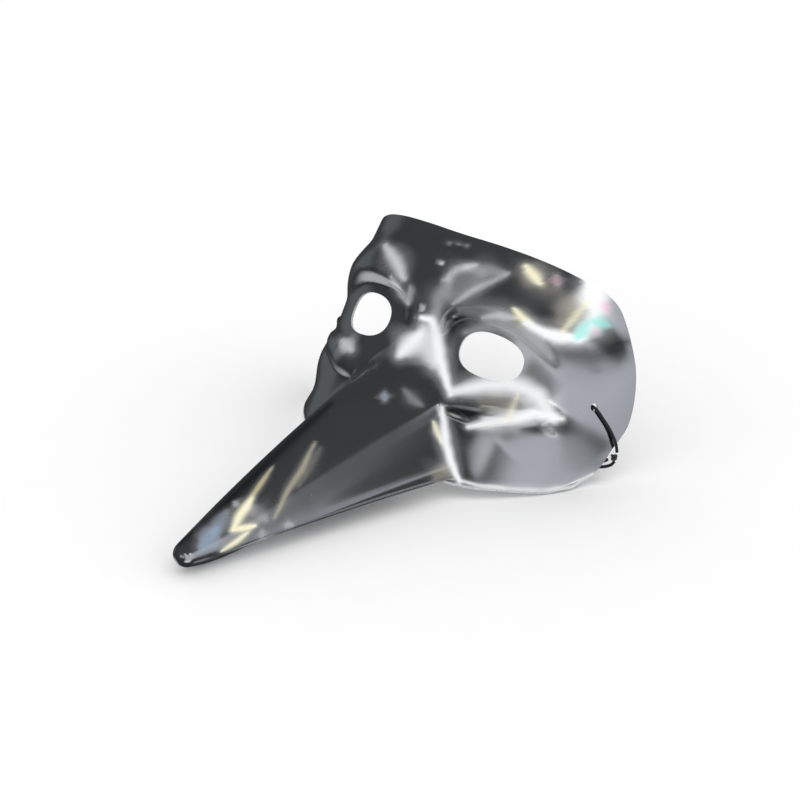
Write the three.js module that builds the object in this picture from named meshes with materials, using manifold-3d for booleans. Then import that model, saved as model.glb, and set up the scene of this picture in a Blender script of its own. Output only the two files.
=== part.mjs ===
// Long-beaked half mask of thin silvered plastic, lying on its beak tip and its chin edge.
// Millimetres, +Z up. In the mask's own upright frame x points to the wearer's left,
// y to the back and z up; eye level is z = 0 and the bare brow is at y = 0.
import * as THREE from 'three';
import { mergeVertices } from 'three/addons/utils/BufferGeometryUtils.js';
import Module from 'manifold-3d';

const wasm = await Module();
wasm.setup();

// The bare face is an upright sheet, flat at the brow and curving back ever faster to the sides
const HALF_WIDTH = 87.4;
const FACE_DEPTH = 60.2;
const PLAN_POWER = 3.19;
const WALL = 1.0;

// The mask is tipped back by this much when it lies on its beak tip and its lower edge,
// and each place that it touches with is worn flat by this little
const LYING_TILT_DEGREES = 32;
const RESTING_FLAT = 0.4;

// Beak: its axis droops below straight ahead and leaves the face at BEAK_ROOT_Z
const BEAK_DROOP = THREE.MathUtils.degToRad(40.7);
const BEAK_ROOT_Z = -37.7;
const BEAK_LENGTH = 147.6;
const TIP_RADIUS = 5.9;
const TIP_CONE = THREE.MathUtils.degToRad(11.4);

// How much fuller than a straight cone the beak is near its root and near its tip:
// all round, and more on its upper side (less where the sign is minus)
const ROOT_FULLNESS = -0.3;
const ROOT_CROWN = 4.8;
const TIP_FULLNESS = 2;
const TIP_CROWN = -6.4;

// The cheek bag swells the root of the beak too, and fades along the beak the faster the larger this is
const BAG_FADE = 9;

// Fillets where the beak leaves the cheeks and the bridge
const CREASE_FILLET = 2.4;
const BRIDGE_FILLET = 8;

// Outlines as (side, height) from the top middle round the left half to the bottom middle.
// Each point of the beak's root faces the point of the rim with the same number.
const BEAK_ROOT = [
  [0, -18], [7.5, -18.2], [14.5, -19.5], [20, -22], [23.5, -26], [25.5, -31], [28.5, -37.5],
  [32, -44], [36.5, -51], [37.9, -54], [38.9, -57], [41.8, -59.2], [38, -60], [20, -60], [0, -60],
];
const RIM = [
  [0, 49], [22, 49.3], [42, 49.1], [58, 47.9], [71.2, 44.8], [77.9, 36], [84.5, 16],
  [87.1, -6], [85.1, -22], [82.2, -37], [76, -48.2], [58.4, -57], [43, -61.4], [21, -61.5], [0, -61.5],
];

// Brow roll and cheek bag: path of the crest, its height, and how far each side reaches
const BROW = {
  path: [
    [7.5, 6], [9.5, 11.5], [14, 16.5], [21, 19.5], [30, 20.5], [40, 20.8], [49, 20.6], [57.5, 19.9], [65, 19.2],
  ],
  height: [2.8, 4, 4.8, 5.2, 5.5, 5.5, 5.1, 4.5, 3.9],
  above: [7.5, 10.5, 15, 18.5, 21, 22, 21, 19.5, 18],
  below: [6, 6, 6, 6, 6.2, 6.6, 8, 11.5, 15.5],
};
const CHEEK = {
  path: [[23, -28.5], [31, -26.5], [39, -24.2], [47, -21.2], [55, -18], [62, -15.8], [67, -14.7]],
  height: [3, 4.6, 5, 4.6, 3.6, 2.2, 0.8],
  above: [6, 8.2, 9.2, 8.6, 7, 4.8, 2],
  below: [5, 7.2, 8.8, 8.6, 7.5, 5.5, 2.5],
};

// Jowl: a soft swell behind the tip of the cheek bag
const JOWL = { side: 70, height: -27, halfLength: 23, halfHeight: 16, rise: 2.6 };

// How tightly the foot of a roll or of the bridge bends, as a share of its height
const FOOT_SOFTNESS = 0.14;
const FOREHEAD_TOP = 20;
const FOREHEAD_SLOPE = 0.082;

// Eye hole, with the socket sunk round it and the lid swelling at its edge
const EYE = { side: 36.8, height: -0.8, halfLength: 15.2, halfHeight: 10.4, corner: 2.35 };
const SOCKET = { halfLength: 34, halfHeight: 22, depth: 3.6 };
const LID = { halfLength: 26, halfHeight: 18, rise: 2.3 };

// Bridge: a wedge between the eyes that widens and rises down to the beak
const BRIDGE = {
  top: 5, bottom: -23, topHalfWidth: 3.4, bottomHalfWidth: 23.5, topRise: 1.6, bottomRise: 8,
};

// Lip: the lower edge of the sheet turns out, fully below LIP.full and not at all above LIP.none
const LIP = { reach: 3, rise: 1.2, none: -12, full: -44 };

// Temple hole for the elastic
const TEMPLE_HOLE = { side: 77.4, height: -5.5, radius: 1.8 };

// Elastic: a limp round cord. A point of its route near the face is (side, height, gap), where gap
// is how far its middle stands out from the outer skin, minus where it is inside the mask.
const ELASTIC_DIAMETER = 1.5;
const KNOT = { place: [86.4, -23.8, 0.2], radius: 1.9 };
const LOOP_ROUTE = [
  [85.5, -25.7, -0.9], [84.85, -27.1, -1.7], [83.8, -27.9, -3], [82.9, -26.7, -4.1], [82.5, -24, -4.6],
  [81.9, -19, -4.9], [81, -14, -5], [79.8, -9.4, -5], [78.5, -6.85, -4.9], [77.65, -5.8, -4],
  [77.3, -5.35, -1.85], [77.65, -5.8, 0.35], [78.5, -6.85, 1.3], [80.3, -9.1, 1.25], [82.2, -11.6, 1.3],
  [84.2, -15, 1.5], [85.6, -18.4, 1.6], [86.4, -21.1, 1.2],
];
const DROP_ROUTE = [
  [87, -25.7, -0.6], [87.1, -27.3, -2], [86.5, -29, -3.6], [85.3, -30.6, -5.4], [83.9, -32, -7.6],
];

// The rest of it lies on the ground inside the mask, in slack curves from the left side to the right.
// The third number is how far a place is above lying flat.
const FLOOR_ROUTE = [
  [75, 85.5, 1.6], [70.5, 86.5, 0.2], [66, 90, 0], [57, 97, 0], [46, 97, 0], [38, 88, 0], [33, 74, 0],
  [24, 65, 0], [12, 67, 0], [4, 80, 0], [-6, 93, 0], [-20, 98, 0], [-32, 91, 0], [-38, 77, 0],
  [-48, 69, 0], [-60, 74, 0], [-70, 84, 0.2], [-75.5, 86.5, 1.6],
];

const lerp = THREE.MathUtils.lerp;
const smoothstep = THREE.MathUtils.smoothstep;

// Both are one at the middle; a bell falls softly to nothing at one, a mound bends tightly there
const bell = (x) => (Math.abs(x) < 1 ? (1 - x * x) ** 2 : 0);
function mound(x) {
  const fall = 1 - x * x;
  return (fall + Math.hypot(fall, FOOT_SOFTNESS)) / (1 + Math.hypot(1, FOOT_SOFTNESS));
}

// Values at evenly numbered stations, joined by a smooth curve
function along(values, t) {
  const last = values.length - 1;
  const at = Math.min(Math.max(t, 0), 1) * last;
  const i = Math.min(Math.floor(at), last - 1);
  const f = at - i;
  const p1 = values[i];
  const p2 = values[i + 1];
  const p0 = values[i - 1] ?? 2 * p1 - p2;
  const p3 = values[i + 2] ?? 2 * p2 - p1;
  return p1 + 0.5 * f * (p2 - p0 + f * (2 * p0 - 5 * p1 + 4 * p2 - p3 + f * (3 * (p1 - p2) + p3 - p0)));
}

// A roll of plastic that follows a path over the face
const PATH_STEPS = 96;
function prepareRoll(roll) {
  roll.line = [];
  for (let i = 0; i <= PATH_STEPS; i += 1) {
    const t = i / PATH_STEPS;
    roll.line.push([along(roll.path.map((p) => p[0]), t), along(roll.path.map((p) => p[1]), t)]);
  }
  return roll;
}

function rollHeight(roll, side, height) {
  let best = Infinity;
  let turn = 0;
  let where = 0;
  for (let i = 0; i < PATH_STEPS; i += 1) {
    const [ax, ay] = roll.line[i];
    const [bx, by] = roll.line[i + 1];
    const dx = bx - ax;
    const dy = by - ay;
    const f = Math.min(Math.max(((side - ax) * dx + (height - ay) * dy) / (dx * dx + dy * dy), 0), 1);
    const ox = side - ax - f * dx;
    const oy = height - ay - f * dy;
    const far = Math.hypot(ox, oy);
    if (far < best) {
      best = far;
      turn = (dx * oy - dy * ox) / (Math.hypot(dx, dy) * Math.max(far, 1e-6));
      where = (i + f) / PATH_STEPS;
    }
  }
  const above = bell(best / along(roll.above, where));
  const below = mound(best / along(roll.below, where));
  return along(roll.height, where) * lerp(below, above, (1 + turn) / 2);
}

function bridgeHeight(side, height) {
  const down = (BRIDGE.top - height) / (BRIDGE.top - BRIDGE.bottom);
  const halfWidth = lerp(BRIDGE.topHalfWidth, BRIDGE.bottomHalfWidth, Math.max(down, 0));
  const across = Math.hypot(side, Math.max(height - BRIDGE.top, 0)) / halfWidth;
  return lerp(BRIDGE.topRise, BRIDGE.bottomRise, smoothstep(down, 0, 1)) * mound(across ** 0.8);
}

// How far the face stands out from the bare sheet
function relief(side, height) {
  const g = Math.abs(side);
  const eyeX = g - EYE.side;
  const eyeY = height - EYE.height;
  const jowlX = (g - JOWL.side) / JOWL.halfLength;
  const jowlY = (height - JOWL.height) / JOWL.halfHeight;
  return rollHeight(BROW, g, height)
    + rollHeight(CHEEK, g, height)
    + bridgeHeight(g, height)
    + JOWL.rise * bell(Math.hypot(jowlX, jowlY))
    - FOREHEAD_SLOPE * Math.max(0, height - FOREHEAD_TOP)
    - SOCKET.depth * bell(Math.hypot(eyeX / SOCKET.halfLength, eyeY / SOCKET.halfHeight))
    + LID.rise * bell(Math.hypot(eyeX / LID.halfLength, eyeY / LID.halfHeight));
}

// Level direction that points straight out of the bare sheet
function outwardAt(side) {
  const share = Math.abs(side) / HALF_WIDTH;
  const slope = Math.sign(side) * (FACE_DEPTH / HALF_WIDTH) * PLAN_POWER * share ** (PLAN_POWER - 1);
  return new THREE.Vector3(slope, -1, 0).normalize();
}

// A place on the outer skin, or standing out from it by a gap
function facePoint(side, height, gap = 0) {
  const depth = FACE_DEPTH * (Math.abs(side) / HALF_WIDTH) ** PLAN_POWER;
  return new THREE.Vector3(side, depth, height).addScaledVector(outwardAt(side), relief(side, height) + gap);
}

// Both outlines run right round: the left half, then its mirror image
function fullLoop(half) {
  const mirrored = half.slice(1, -1).reverse().map(([side, height]) => [-side, height]);
  const points = [...half, ...mirrored].map(([side, height]) => new THREE.Vector3(side, height, 0));
  return new THREE.CatmullRomCurve3(points, true, 'catmullrom', 0.5);
}

prepareRoll(BROW);
prepareRoll(CHEEK);
const rootLoop = fullLoop(BEAK_ROOT);
const rimLoop = fullLoop(RIM);

const axis = new THREE.Vector3(0, -Math.cos(BEAK_DROOP), -Math.sin(BEAK_DROOP));
const axisUp = new THREE.Vector3(0, -Math.sin(BEAK_DROOP), Math.cos(BEAK_DROOP));
const acrossAxis = new THREE.Vector3(1, 0, 0);
const rootCentre = new THREE.Vector3(0, 0, BEAK_ROOT_Z);
const tipCentre = rootCentre.clone().addScaledVector(axis, BEAK_LENGTH - TIP_RADIUS);

// One line of points from the beak's tip over the crease to the rim
const CAP_RINGS = 3;
const BEAK_RINGS = 11;
const FILLET_RINGS = 2;
const FACE_RINGS = 14;
function meridian(t) {
  const root = rootLoop.getPoint(t);
  const rim = rimLoop.getPoint(t);
  const corner = facePoint(root.x, root.y);
  const offset = corner.clone().sub(rootCentre);
  const angle = Math.atan2(offset.dot(axisUp), offset.x);
  const radial = acrossAxis.clone().multiplyScalar(Math.cos(angle)).addScaledVector(axisUp, Math.sin(angle));
  const onCap = (lean) => tipCentre.clone()
    .addScaledVector(radial, TIP_RADIUS * Math.cos(lean))
    .addScaledVector(axis, TIP_RADIUS * Math.sin(lean));

  const capEdge = onCap(TIP_CONE);
  const length = capEdge.distanceTo(corner);
  const bag = outwardAt(root.x).multiplyScalar(rollHeight(CHEEK, Math.abs(root.x), root.y));
  const plainCorner = corner.clone().sub(bag);
  const rootSwell = ROOT_FULLNESS + ROOT_CROWN * Math.sin(angle);
  const tipSwell = TIP_FULLNESS + TIP_CROWN * Math.sin(angle);
  const nearRoot = plainCorner.clone().lerp(capEdge, 1 / 3).addScaledVector(radial, rootSwell);
  const nearTip = capEdge.clone()
    .addScaledVector(radial, (length / 3) * Math.sin(TIP_CONE) + tipSwell)
    .addScaledVector(axis, -(length / 3) * Math.cos(TIP_CONE));
  const side = new THREE.CubicBezierCurve3(plainCorner, nearRoot, nearTip, capEdge);
  const beakPart = (s) => side.getPoint(s).addScaledVector(bag, (1 - s) ** BAG_FADE);

  const cheekWidth = root.distanceTo(rim);
  const bridgeShare = smoothstep(Math.sin(angle), 0.45, 0.85);
  const fillet = Math.min(lerp(CREASE_FILLET, BRIDGE_FILLET, bridgeShare), 0.45 * cheekWidth);
  const beakStart = fillet / length;
  const faceStart = fillet / cheekWidth;
  const lipStart = 1 - Math.min(LIP.reach / cheekWidth, 0.5);
  const lipRise = LIP.rise * smoothstep(-rim.y, -LIP.none, -LIP.full);
  const facePart = (f) => facePoint(lerp(root.x, rim.x, f), lerp(root.y, rim.y, f), f < 1 ? 0 : lipRise);
  const blend = new THREE.QuadraticBezierCurve3(beakPart(beakStart), corner, facePart(faceStart));

  const points = [];
  for (let i = 1; i < CAP_RINGS; i += 1) points.push(onCap(lerp(Math.PI / 2, TIP_CONE, i / CAP_RINGS)));
  for (let i = 0; i < BEAK_RINGS; i += 1) points.push(beakPart(lerp(1, beakStart, i / BEAK_RINGS)));
  for (let i = 0; i < FILLET_RINGS; i += 1) points.push(blend.getPoint(i / FILLET_RINGS));
  for (let i = 0; i < FACE_RINGS; i += 1) {
    points.push(facePart(lerp(faceStart, lipStart, i / (FACE_RINGS - 1))));
  }
  points.push(facePart(1));
  return points;
}

// The outer skin is a fan of meridians from the tip, and the inner skin lies a wall inside it
const MERIDIANS = 2 * rootLoop.points.length;
function maskShell() {
  const lines = [];
  for (let k = 0; k < MERIDIANS; k += 1) lines.push(meridian(k / MERIDIANS));
  const rings = lines[0].length;
  const tip = tipCentre.clone().addScaledVector(axis, TIP_RADIUS);
  const outer = [tip, ...lines.flat()];
  const at = (k, j) => 1 + (k % MERIDIANS) * rings + j;
  const faces = [];
  for (let k = 0; k < MERIDIANS; k += 1) {
    faces.push([0, at(k + 1, 0), at(k, 0)]);
    for (let j = 0; j + 1 < rings; j += 1) {
      const [a, b, c, d] = [at(k, j), at(k, j + 1), at(k + 1, j + 1), at(k + 1, j)];
      if (k < MERIDIANS / 2) faces.push([a, c, b], [a, d, c]);
      else faces.push([a, d, b], [b, d, c]);
    }
  }
  const sheet = new THREE.BufferGeometry().setFromPoints(outer);
  sheet.setIndex(faces.flat());
  sheet.computeVertexNormals();
  const normals = sheet.getAttribute('normal');
  const inner = outer.map((p, i) => p.clone().addScaledVector(new THREE.Vector3().fromBufferAttribute(normals, i), -WALL));

  const below = outer.length;
  const closed = [...faces, ...faces.map(([a, b, c]) => [a + below, c + below, b + below])];
  for (let k = 0; k < MERIDIANS; k += 1) {
    const a = at(k, rings - 1);
    const b = at(k + 1, rings - 1);
    closed.push([a, b, a + below], [b, b + below, a + below]);
  }
  const shell = new THREE.BufferGeometry().setFromPoints([...outer, ...inner]);
  shell.setIndex(closed.flat());
  return shell;
}

function solidOf(geometry) {
  const bare = geometry.clone();
  bare.deleteAttribute('normal');
  bare.deleteAttribute('uv');
  const merged = mergeVertices(bare, 1e-4);
  return new wasm.Manifold(new wasm.Mesh({
    numProp: 3,
    vertProperties: new Float32Array(merged.getAttribute('position').array),
    triVerts: new Uint32Array(merged.getIndex().array),
  }));
}

function geometryOf(solid) {
  const mesh = solid.getMesh();
  const geometry = new THREE.BufferGeometry();
  geometry.setAttribute('position', new THREE.BufferAttribute(mesh.vertProperties, 3));
  geometry.setIndex(new THREE.BufferAttribute(mesh.triVerts, 1));
  geometry.computeVertexNormals();
  return geometry;
}

// Eye hole outline: between an ellipse and a rounded box
const EYE_SIDES = 36;
function eyeCutter(side) {
  const power = 2 / EYE.corner;
  const outline = new THREE.Shape();
  for (let i = 0; i < EYE_SIDES; i += 1) {
    const turn = (2 * Math.PI * i) / EYE_SIDES;
    const across = Math.sign(Math.cos(turn)) * Math.abs(Math.cos(turn)) ** power;
    const up = Math.sign(Math.sin(turn)) * Math.abs(Math.sin(turn)) ** power;
    const x = side * (EYE.side + EYE.halfLength * across);
    const z = EYE.height + EYE.halfHeight * up;
    if (i === 0) outline.moveTo(x, z);
    else outline.lineTo(x, z);
  }
  const prism = new THREE.ExtrudeGeometry(outline, { depth: 60, bevelEnabled: false });
  prism.rotateX(Math.PI / 2);
  prism.translate(0, 40, 0);
  return prism;
}

function templeCutter(side) {
  const outward = outwardAt(side * TEMPLE_HOLE.side);
  const middle = facePoint(side * TEMPLE_HOLE.side, TEMPLE_HOLE.height);
  const drill = new THREE.CylinderGeometry(TEMPLE_HOLE.radius, TEMPLE_HOLE.radius, 8 * WALL, 20);
  drill.applyQuaternion(new THREE.Quaternion().setFromUnitVectors(new THREE.Vector3(0, 1, 0), outward));
  return drill.translate(...middle);
}

const silver = new THREE.MeshStandardMaterial({ color: 0x9a9ca0, roughness: 0.15, metalness: 1 });
const black = new THREE.MeshStandardMaterial({ color: 0x141518, roughness: 0.7, metalness: 0 });

// The shell with its holes, laid down: the middle of the ground under its box becomes the origin
function cutShell() {
  let shell = solidOf(maskShell());
  for (const side of [-1, 1]) {
    shell = shell.subtract(solidOf(eyeCutter(side))).subtract(solidOf(templeCutter(side)));
  }
  return shell.rotate([-LYING_TILT_DEGREES, 0, 0]);
}

const part = new THREE.Group();
function add(name, geometry, material) {
  const mesh = new THREE.Mesh(geometry, material);
  mesh.name = name;
  part.add(mesh);
}

let shell = cutShell();
const ground = shell.boundingBox().min[2] + RESTING_FLAT;
shell = shell.translate([0, 0, -ground]).trimByPlane([0, 0, 1], 0);
const { min, max } = shell.boundingBox();
const middle = (min[1] + max[1]) / 2;
add('mask_shell', geometryOf(shell.translate([0, -middle, 0])), silver);

// The same move for a point of the upright mask
const lie = (point) => point
  .applyAxisAngle(acrossAxis, THREE.MathUtils.degToRad(-LYING_TILT_DEGREES))
  .sub(new THREE.Vector3(0, middle, ground));
const besideFace = (side, [across, height, gap]) => lie(facePoint(side * across, height, gap));

// Elastic: a tube of eight sides along each stretch of the route
function tube(points, step) {
  const path = new THREE.CatmullRomCurve3(points);
  const radius = ELASTIC_DIAMETER / 2;
  const corner = (k) => new THREE.Vector2(radius, 0).rotateAround(new THREE.Vector2(), (Math.PI * k) / 4);
  const section = new THREE.Shape([0, 1, 2, 3, 4, 5, 6, 7].map(corner));
  const steps = Math.ceil(path.getLength() / step);
  return new THREE.ExtrudeGeometry(section, { extrudePath: path, steps, bevelEnabled: false });
}

const ends = { left: 1, right: -1 };
for (const [name, side] of Object.entries(ends)) {
  const route = LOOP_ROUTE.map((place) => besideFace(side, place));
  add(`elastic_loop_${name}`, tube(route, 2 * ELASTIC_DIAMETER), black);
  const knot = new THREE.SphereGeometry(KNOT.radius, 12, 8);
  add(`knot_${name}`, knot.translate(...besideFace(side, KNOT.place)), black);
}

const onGround = ([x, y, rise]) => new THREE.Vector3(x, y, rise + ELASTIC_DIAMETER / 2 + 0.1);
const drop = (side) => DROP_ROUTE.map((place) => besideFace(side, place));
const longRoute = [...drop(ends.left), ...FLOOR_ROUTE.map(onGround), ...drop(ends.right).reverse()];
add('elastic_cord', tube(longRoute, 3 * ELASTIC_DIAMETER), black);

export default part;
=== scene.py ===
"""Long-beaked half mask of silvered plastic sheet, lying on its beak tip and its lower edge."""
import math

import bpy
import numpy as np
from bpy.props import FloatProperty, FloatVectorProperty, PointerProperty
from mathutils import Matrix, Vector


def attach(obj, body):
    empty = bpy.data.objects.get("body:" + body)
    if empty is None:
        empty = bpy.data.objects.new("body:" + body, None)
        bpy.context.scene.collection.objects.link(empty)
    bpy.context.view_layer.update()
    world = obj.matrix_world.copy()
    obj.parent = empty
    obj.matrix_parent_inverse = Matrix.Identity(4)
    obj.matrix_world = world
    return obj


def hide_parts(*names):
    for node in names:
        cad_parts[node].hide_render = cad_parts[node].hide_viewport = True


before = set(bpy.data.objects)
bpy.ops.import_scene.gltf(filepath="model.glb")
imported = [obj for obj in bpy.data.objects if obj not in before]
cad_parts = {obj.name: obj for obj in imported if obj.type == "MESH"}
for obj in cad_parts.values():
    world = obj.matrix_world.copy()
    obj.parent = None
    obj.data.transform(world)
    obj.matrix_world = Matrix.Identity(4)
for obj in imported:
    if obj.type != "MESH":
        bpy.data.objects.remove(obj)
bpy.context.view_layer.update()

bl_info = {
    "name": "Long-beaked mask",
    "version": (1, 0, 0),
    "blender": (4, 5, 0),
    "location": "3D View > Sidebar > Mask",
    "description": "Makes a silvered half mask with a long beak and its elastic on a pale floor",
    "category": "Add Mesh",
}

# All lengths are in metres. In the mask's own upright frame x points to the wearer's left,
# y to the back and z up; eye level is z = 0 and the bare brow is at y = 0.
# Seen from above, the bare face bends back by this power of the way out to the side.
PLAN_POWER = 3.19

# Beak: height of its axis at the root, slope of its sides at the tip, and how full it is at
# both ends, with what its top has more than that and its underside less
BEAK_ROOT_Z = -0.0377
TIP_CONE = math.radians(11.4)
ROOT_FULLNESS = -0.0003
ROOT_CROWN = 0.0048
TIP_FULLNESS = 0.002
TIP_CROWN = -0.0064

# How fast the swell of a cheek bag fades along the beak
BAG_FADE = 9

# The beak joins the face in a fillet, wide under the bridge: where on the way round the beak,
# as the sine of the angle, it starts to widen and is widest, and its greatest share of the cheek
CREASE_FILLET = 0.0024
BRIDGE_FILLET = 0.008
WIDENS_AT = 0.45
WIDEST_AT = 0.85
FILLET_SHARE = 0.45

# How the upright mask comes to lie: tipped back, then moved by this much
LYING_TILT = math.radians(32)
LYING_PLACE = np.array([0, 0.05517, 0.06146])

# Outlines as (side, height) from the top middle round the left half to the bottom middle
BEAK_ROOT = [
    (0, -0.018), (0.0075, -0.0182), (0.0145, -0.0195), (0.02, -0.022), (0.0235, -0.026),
    (0.0255, -0.031), (0.0285, -0.0375), (0.032, -0.044), (0.0365, -0.051), (0.0379, -0.054),
    (0.0389, -0.057), (0.0418, -0.0592), (0.038, -0.06), (0.02, -0.06), (0, -0.06),
]
RIM = [
    (0, 0.049), (0.022, 0.0493), (0.042, 0.0491), (0.058, 0.0479), (0.0712, 0.0448),
    (0.0779, 0.036), (0.0845, 0.016), (0.0871, -0.006), (0.0851, -0.022), (0.0822, -0.037),
    (0.076, -0.0482), (0.0584, -0.057), (0.043, -0.0614), (0.021, -0.0615), (0, -0.0615),
]

# Brow roll and cheek bag: crest as (side, height), its rise, and how far each side reaches
BROW = {
    "path": [
        (0.0075, 0.006), (0.0095, 0.0115), (0.014, 0.0165), (0.021, 0.0195), (0.03, 0.0205),
        (0.04, 0.0208), (0.049, 0.0206), (0.0575, 0.0199), (0.065, 0.0192),
    ],
    "rise": [0.0028, 0.004, 0.0048, 0.0052, 0.0055, 0.0055, 0.0051, 0.0045, 0.0039],
    "above": [0.0075, 0.0105, 0.015, 0.0185, 0.021, 0.022, 0.021, 0.0195, 0.018],
    "below": [0.006, 0.006, 0.006, 0.006, 0.0062, 0.0066, 0.008, 0.0115, 0.0155],
}
CHEEK = {
    "path": [
        (0.023, -0.0285), (0.031, -0.0265), (0.039, -0.0242), (0.047, -0.0212), (0.055, -0.018),
        (0.062, -0.0158), (0.067, -0.0147),
    ],
    "rise": [0.003, 0.0046, 0.005, 0.0046, 0.0036, 0.0022, 0.0008],
    "above": [0.006, 0.0082, 0.0092, 0.0086, 0.007, 0.0048, 0.002],
    "below": [0.005, 0.0072, 0.0088, 0.0086, 0.0075, 0.0055, 0.0025],
}

# Jowl: a soft swell behind the tip of the cheek bag
JOWL_PLACE = (0.07, -0.027)
JOWL_SIZE = (0.023, 0.016)
JOWL_RISE = 0.0026

# How tightly the foot of a roll or of the bridge bends, as a share of its rise
FOOT_SOFTNESS = 0.14

# Above this height the forehead leans back by this slope
FOREHEAD_TOP = 0.02
FOREHEAD_SLOPE = 0.082

# Eye hole, with the socket sunk round it and the lid swelling at its edge
EYE_SIDE = 0.0368
EYE_HEIGHT = -0.0008
EYE_HALF_LENGTH = 0.0152
EYE_HALF_HEIGHT = 0.0104
EYE_CORNER = 2.35
SOCKET_SIZE = (0.034, 0.022)
SOCKET_DEPTH = 0.0036
LID_SIZE = (0.026, 0.018)
LID_RISE = 0.0023

# Bridge: a wedge between the eyes that widens and rises down to the beak; its crest is the
# sharper, the smaller its point is
BRIDGE_TOP = 0.005
BRIDGE_BOTTOM = -0.023
BRIDGE_TOP_HALF_WIDTH = 0.0034
BRIDGE_BOTTOM_HALF_WIDTH = 0.0235
BRIDGE_TOP_RISE = 0.0016
BRIDGE_BOTTOM_RISE = 0.008
BRIDGE_POINT = 0.8

# Lip: the lower edge of the sheet turns out, fully below LIP_FULL and not at all above LIP_NONE,
# over at most this share of the cheek
LIP_REACH = 0.003
LIP_SHARE = 0.5
LIP_RISE = 0.0012
LIP_NONE = -0.012
LIP_FULL = -0.044

# Temple holes, which the elastic runs through, and the length of their drill in walls
TEMPLE_SIDE = 0.0774
TEMPLE_HEIGHT = -0.0055
TEMPLE_RADIUS = 0.0018
DRILL_WALLS = 8

# How finely the sheet is divided: round it, from the tip to the rim, and along a roll's crest
MERIDIANS = 240
CAP_ROWS = 8
BEAK_ROWS = 100
FILLET_ROWS = 8
FACE_ROWS = 74
LIP_ROWS = 5
PATH_STEPS = 96

# Vertices nearer than this are one, faces that meet at less than this are smooth, and a number
# smaller than this is nothing
SAME_PLACE = 1e-6
SMOOTH_BELOW = math.radians(40)
TINY = 1e-9

# Places of the sheet's inner skin and cut edge among its materials
INNER_SLOT = 1
CUT_SLOT = 2

# Elastic: a point near the face is (side, height, gap), where gap is how far its middle stands
# out from the outer skin, minus where it is inside the mask
KNOT_PLACE = (0.0864, -0.0238, 0.0002)
LOOP_ROUTE = [
    (0.0855, -0.0257, -0.0009), (0.08485, -0.0271, -0.0017), (0.0838, -0.0279, -0.003),
    (0.0829, -0.0267, -0.0041), (0.0825, -0.024, -0.0046), (0.0819, -0.019, -0.0049),
    (0.081, -0.014, -0.005), (0.0798, -0.0094, -0.005), (0.0785, -0.00685, -0.0049),
    (0.07765, -0.0058, -0.004), (0.0773, -0.00535, -0.00185), (0.07765, -0.0058, 0.00035),
    (0.0785, -0.00685, 0.0013), (0.0803, -0.0091, 0.00125), (0.0822, -0.0116, 0.0013),
    (0.0842, -0.015, 0.0015), (0.0856, -0.0184, 0.0016), (0.0864, -0.0211, 0.0012),
]
DROP_ROUTE = [
    (0.087, -0.0257, -0.0006), (0.0871, -0.0273, -0.002), (0.0865, -0.029, -0.0036),
    (0.0853, -0.0306, -0.0054), (0.0839, -0.032, -0.0076),
]

# The rest lies on the ground inside the mask: x, y and how far it is above lying flat
FLOOR_ROUTE = [
    (0.075, 0.0855, 0.0016), (0.0705, 0.0865, 0.0002), (0.066, 0.09, 0), (0.057, 0.097, 0),
    (0.046, 0.097, 0), (0.038, 0.088, 0), (0.033, 0.074, 0), (0.024, 0.065, 0), (0.012, 0.067, 0),
    (0.004, 0.08, 0), (-0.006, 0.093, 0), (-0.02, 0.098, 0), (-0.032, 0.091, 0),
    (-0.038, 0.077, 0), (-0.048, 0.069, 0), (-0.06, 0.074, 0), (-0.07, 0.084, 0.0002),
    (-0.0755, 0.0865, 0.0016),
]
CLEAR_OF_GROUND = 0.0001

# Overhand knot: its strand as a share of its radius, how far out and how deep its middle line
# goes before it is drawn tight, and the step in radians that gives the line's direction
KNOT_THICKNESS = 0.36
KNOT_REACH = 3
KNOT_DEPTH = 1.6
KNOT_STEP = 0.01

# Camera: where its middle ray goes, from how far and which side, and its square picture
CAMERA_TARGET = Vector((0.00113, 0.03787, 0.03186))
CAMERA_DISTANCE = 1.2212
CAMERA_AZIMUTH = math.radians(39.264)
CAMERA_ELEVATION = math.radians(25.473)
CAMERA_ROLL = math.radians(1.212)
CAMERA_LENS = 117.45
CAMERA_SENSOR = 36
PICTURE_SIZE = 800

# Soft cards round the studio, which only the silver mirrors:
# azimuth and elevation of the middle, half width, half height, softness in degrees, and light
CARDS = {
    "side wall": (71, -2, 37, 22, 6, (0.60, 0.62, 0.65)),
    "lower wall": (66, -24, 22, 16, 8, (0.60, 0.62, 0.65)),
    "front wall": (8, 2, 20, 10, 7, (0.40, 0.41, 0.41)),
    "back wall": (120, 2, 12, 26, 16, (0.120, 0.127, 0.134)),
    "rear wall": (152, -22, 26, 36, 6, (0.55, 0.56, 0.58)),
    "right wall": (-161, -4, 17, 30, 6, (0.50, 0.51, 0.53)),
    "left wall": (-100, -2, 16, 16, 8, (0.12, 0.13, 0.135)),
    "window": (79, 23, 6, 6, 3, (1.45, 1.48, 1.50)),
    "window band": (33, 24, 10, 7, 4, (0.68, 0.70, 0.72)),
    "front paper": (50, -40, 24, 8, 5, (1.0, 1.02, 1.05)),
    "left paper": (-100, -42, 30, 10, 8, (0.6, 0.6, 0.6)),
}

# Light of the rest of the room in the silver's mirror, and of the whole room for all else
ROOM_LIGHT = (0.040, 0.042, 0.043)
WHITE_LIGHT = (1.04, 1.04, 1.04)

# Floor, which stays a little below all that lies on it
FLOOR_SIZE = 12
FLOOR_DROP = 0.0002

# The silver where it is scuffed, and where painted shade darkens it fully
SCUFF_COLOUR = (0.8, 0.8, 0.8)
SHADE_COLOUR = (0.05, 0.052, 0.055)
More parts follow.
